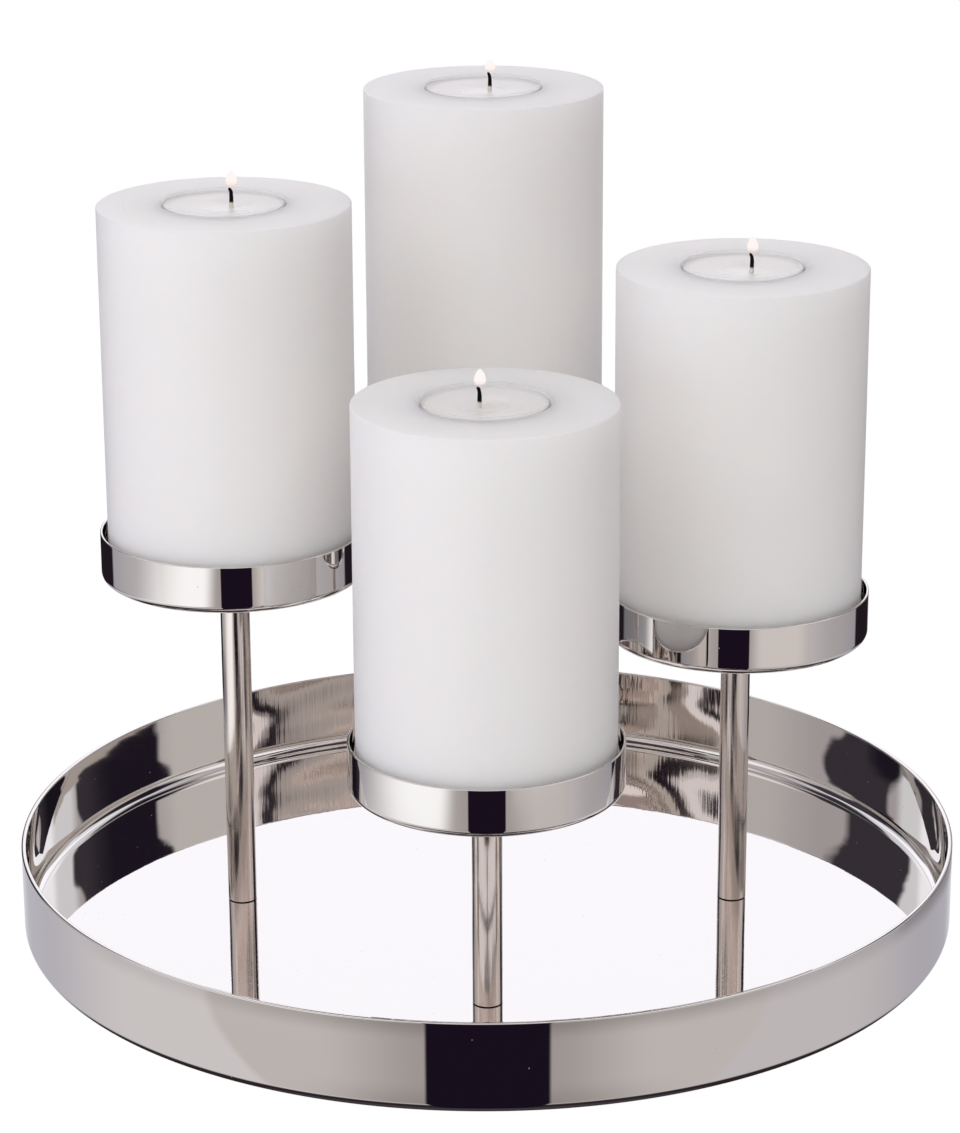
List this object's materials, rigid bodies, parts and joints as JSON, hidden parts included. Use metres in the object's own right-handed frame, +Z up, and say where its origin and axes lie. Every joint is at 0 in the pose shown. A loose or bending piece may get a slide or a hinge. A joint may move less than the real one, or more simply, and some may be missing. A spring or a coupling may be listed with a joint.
{
  "type": "advent wreath candle holder",
  "caption": "Round polished metal tray carrying pillar candles in shallow cups on stems of stepped height, each candle topped by a tealight.",
  "frame": {"origin": "on the table under the middle of the tray", "axes": "+Z up, -Y towards the viewer and the lowest holder, +X to the viewer's right"},
  "size_m": [0.306, 0.306, 0.267],
  "materials": {
    "polished_nickel": "mirror-polished nickel plate",
    "satin_nickel": "satin nickel plate",
    "plated_steel": "zinc plated",
    "brass": "turned",
    "felt": "dense grey felt",
    "pillar_wax": "smooth white wax, slightly translucent",
    "tealight_wax": "glossy white wax, slightly translucent",
    "clear_plastic": "clear polycarbonate",
    "wick": "burnt cotton"
  },
  "bodies": {
    "stand": {"tray": "polished_nickel", "felt_pad_front_right": "felt", "felt_pad_front_left": "felt", "felt_pad_back_left": "felt", "felt_pad_back_right": "felt", "stem_front": "satin_nickel", "stem_right": "satin_nickel", "stem_left": "satin_nickel", "stem_back": "satin_nickel", "stem_insert_bottom_front": "brass", "stem_insert_bottom_right": "brass", "stem_insert_bottom_left": "brass", "stem_insert_bottom_back": "brass", "stem_insert_top_front": "brass", "stem_insert_top_right": "brass", "stem_insert_top_left": "brass", "stem_insert_top_back": "brass", "base_screw_front": "plated_steel", "base_screw_right": "plated_steel", "base_screw_left": "plated_steel", "base_screw_back": "plated_steel", "cup_front": "polished_nickel", "cup_right": "polished_nickel", "cup_left": "polished_nickel", "cup_back": "polished_nickel", "cup_screw_front": "plated_steel", "cup_screw_right": "plated_steel", "cup_screw_left": "plated_steel", "cup_screw_back": "plated_steel"},
    "candle_front": {"pillar_candle_front": "pillar_wax"},
    "candle_right": {"pillar_candle_right": "pillar_wax"},
    "candle_left": {"pillar_candle_left": "pillar_wax"},
    "candle_back": {"pillar_candle_back": "pillar_wax"},
    "tealight_front": {"tealight_cup_front": "clear_plastic", "tealight_wax_front": "tealight_wax", "wick_clip_front": "plated_steel", "wick_front": "wick"},
    "tealight_right": {"tealight_cup_right": "clear_plastic", "tealight_wax_right": "tealight_wax", "wick_clip_right": "plated_steel", "wick_right": "wick"},
    "tealight_left": {"tealight_cup_left": "clear_plastic", "tealight_wax_left": "tealight_wax", "wick_clip_left": "plated_steel", "wick_left": "wick"},
    "tealight_back": {"tealight_cup_back": "clear_plastic", "tealight_wax_back": "tealight_wax", "wick_clip_back": "plated_steel", "wick_back": "wick"}
  },
  "joints": [
    {"name": "candle_front_lift", "type": "slide", "parent": "stand", "child": "candle_front", "axis": [0, 0, 1], "range_m": [0, 0.03]},
    {"name": "candle_right_lift", "type": "slide", "parent": "stand", "child": "candle_right", "axis": [0, 0, 1], "range_m": [0, 0.03]},
    {"name": "candle_left_lift", "type": "slide", "parent": "stand", "child": "candle_left", "axis": [0, 0, 1], "range_m": [0, 0.03]},
    {"name": "candle_back_lift", "type": "slide", "parent": "stand", "child": "candle_back", "axis": [0, 0, 1], "range_m": [0, 0.03]},
    {"name": "tealight_front_lift", "type": "slide", "parent": "candle_front", "child": "tealight_front", "axis": [0, 0, 1], "range_m": [0, 0.025]},
    {"name": "tealight_right_lift", "type": "slide", "parent": "candle_right", "child": "tealight_right", "axis": [0, 0, 1], "range_m": [0, 0.025]},
    {"name": "tealight_left_lift", "type": "slide", "parent": "candle_left", "child": "tealight_left", "axis": [0, 0, 1], "range_m": [0, 0.025]},
    {"name": "tealight_back_lift", "type": "slide", "parent": "candle_back", "child": "tealight_back", "axis": [0, 0, 1], "range_m": [0, 0.025]}
  ]
}
